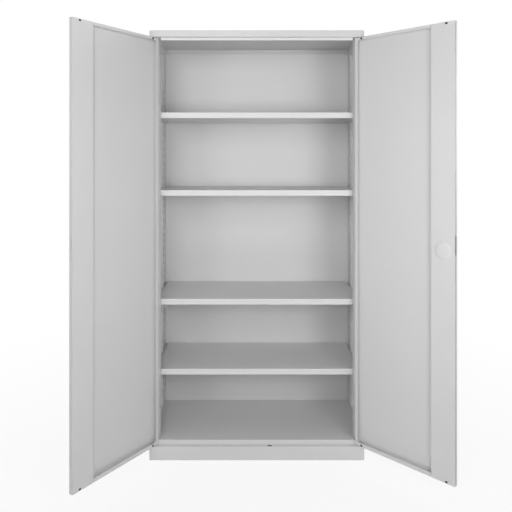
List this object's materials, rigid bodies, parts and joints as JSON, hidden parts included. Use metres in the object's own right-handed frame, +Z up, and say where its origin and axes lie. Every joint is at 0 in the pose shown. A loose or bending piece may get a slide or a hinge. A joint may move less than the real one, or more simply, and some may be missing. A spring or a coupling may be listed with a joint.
{
  "type": "hinged door cabinet",
  "caption": "Sheet-steel cupboard on a plinth, with hinged doors, adjustable shelves on hook-in clips, and a turn handle that works a latch tongue and upright lock rods.",
  "frame": {"origin": "middle of the front plinth rail's foot flange, on the floor", "axes": "+Z up, the front looks towards -Y, +X to the right seen from the front"},
  "size_m": [1.4116, 0.806, 1.8],
  "materials": {
    "grey_powder_coat": "satin fine-textured powder coat",
    "zinc_plate": "bright zinc plate",
    "black_nylon": "moulded, matt",
    "white_cap_plastic": "moulded, light grey, fine grain",
    "chrome": "polished"
  },
  "bodies": {
    "body": {"left_side_panel": "grey_powder_coat", "right_side_panel": "grey_powder_coat", "top_panel": "grey_powder_coat", "floor_panel": "grey_powder_coat", "back_panel": "grey_powder_coat", "plinth_front": "grey_powder_coat", "plinth_left": "grey_powder_coat", "plinth_right": "grey_powder_coat", "plinth_back": "grey_powder_coat", "shelf_strip_left_front": "grey_powder_coat", "shelf_strip_left_rear": "grey_powder_coat", "shelf_strip_right_front": "grey_powder_coat", "shelf_strip_right_rear": "grey_powder_coat", "hinge_pin_left_top": "zinc_plate", "hinge_pin_left_bottom": "zinc_plate", "hinge_pin_right_top": "zinc_plate", "hinge_pin_right_bottom": "zinc_plate", "shelf_clip_1_left_front": "zinc_plate", "shelf_clip_1_left_rear": "zinc_plate", "shelf_clip_1_right_front": "zinc_plate", "shelf_clip_1_right_rear": "zinc_plate", "shelf_clip_2_left_front": "zinc_plate", "shelf_clip_2_left_rear": "zinc_plate", "shelf_clip_2_right_front": "zinc_plate", "shelf_clip_2_right_rear": "zinc_plate", "shelf_clip_3_left_front": "zinc_plate", "shelf_clip_3_left_rear": "zinc_plate", "shelf_clip_3_right_front": "zinc_plate", "shelf_clip_3_right_rear": "zinc_plate", "shelf_clip_4_left_front": "zinc_plate", "shelf_clip_4_left_rear": "zinc_plate", "shelf_clip_4_right_front": "zinc_plate", "shelf_clip_4_right_rear": "zinc_plate"},
    "left_door": {"left_door_shell": "grey_powder_coat", "left_door_stile": "grey_powder_coat", "left_bush_top": "black_nylon", "left_bush_bottom": "black_nylon", "door_plug_top": "black_nylon", "door_plug_bottom": "black_nylon"},
    "right_door": {"right_door_shell": "grey_powder_coat", "right_door_stile": "grey_powder_coat", "right_bush_top": "black_nylon", "right_bush_bottom": "black_nylon", "rod_guide_top": "black_nylon", "rod_guide_bottom": "black_nylon", "lock_cap": "white_cap_plastic", "handle_rosette": "black_nylon"},
    "handle": {"turn_handle": "black_nylon", "cam_disc": "zinc_plate", "latch_tongue": "zinc_plate", "spindle_nut": "zinc_plate"},
    "lock_cylinder": {"lock_plug": "chrome"},
    "upper_rod_body": {"upper_rod": "zinc_plate"},
    "lower_rod_body": {"lower_rod": "zinc_plate"},
    "shelf_1_body": {"shelf_1": "grey_powder_coat"},
    "shelf_2_body": {"shelf_2": "grey_powder_coat"},
    "shelf_3_body": {"shelf_3": "grey_powder_coat"},
    "shelf_4_body": {"shelf_4": "grey_powder_coat"}
  },
  "joints": [
    {"name": "left_door_hinge", "type": "hinge", "parent": "body", "child": "left_door", "pos_m": [-0.4315, -0.0115, 0.9], "axis": [0, 0, -1], "range_deg": [-123.2, 56.8]},
    {"name": "right_door_hinge", "type": "hinge", "parent": "body", "child": "right_door", "pos_m": [0.4315, -0.0115, 0.9], "axis": [0, 0, 1], "range_deg": [-134.4, 45.6]},
    {"name": "handle_turn", "type": "hinge", "parent": "right_door", "child": "handle", "pos_m": [0.70519, -0.27884, 0.9205], "axis": [0.7145, 0.6997, 0], "range_deg": [0, 90]},
    {"name": "upper_rod_slide", "type": "slide", "parent": "right_door", "child": "upper_rod_body", "axis": [0, 0, 1], "range_m": [0, 0.017]},
    {"name": "lower_rod_slide", "type": "slide", "parent": "right_door", "child": "lower_rod_body", "axis": [0, 0, -1], "range_m": [0, 0.017]},
    {"name": "lock_plug_turn", "type": "hinge", "parent": "handle", "child": "lock_cylinder", "pos_m": [0.70519, -0.27884, 0.9205], "axis": [0.7145, 0.6997, 0], "range_deg": [0, 90]},
    {"name": "shelf_1_lift", "type": "slide", "parent": "body", "child": "shelf_1_body", "axis": [0, 0, 1], "range_m": [0, 0.03]},
    {"name": "shelf_2_lift", "type": "slide", "parent": "body", "child": "shelf_2_body", "axis": [0, 0, 1], "range_m": [0, 0.03]},
    {"name": "shelf_3_lift", "type": "slide", "parent": "body", "child": "shelf_3_body", "axis": [0, 0, 1], "range_m": [0, 0.03]},
    {"name": "shelf_4_lift", "type": "slide", "parent": "body", "child": "shelf_4_body", "axis": [0, 0, 1], "range_m": [0, 0.03]}
  ],
  "couplings": [
    {"joint": "upper_rod_slide", "follows": "handle_turn", "m_per_rad": 0.0108},
    {"joint": "lower_rod_slide", "follows": "handle_turn", "m_per_rad": 0.0108}
  ]
}
